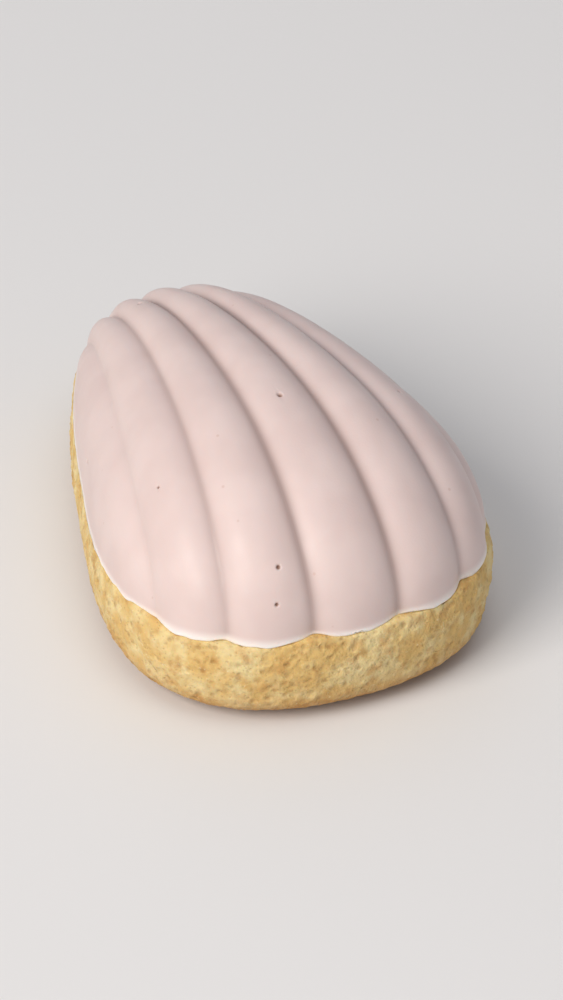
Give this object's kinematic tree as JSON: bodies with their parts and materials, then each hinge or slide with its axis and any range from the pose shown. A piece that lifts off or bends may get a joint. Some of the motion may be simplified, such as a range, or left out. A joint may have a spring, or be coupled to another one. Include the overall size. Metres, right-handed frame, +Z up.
{
  "type": "madeleine cake",
  "caption": "Small shell-shaped sponge cake with a fluted dome under a thin pale pink chocolate coating and a bare golden band and belly.",
  "frame": {"origin": "centre of the bounding box's bottom face, on the surface the cake rests on", "axes": "+Y from the broad end of the shell to its narrow end, +Z up through the fluted dome, +X across the cake"},
  "size_m": [0.0458, 0.0688, 0.03],
  "materials": {
    "coating": "satin tinted white chocolate, smooth, with fine pinholes",
    "sponge": "matt golden baked sponge with a fine open crumb, browner on its lower edge and belly"
  },
  "bodies": {
    "root": {"coating": "coating", "sponge": "sponge"}
  },
  "joints": []
}
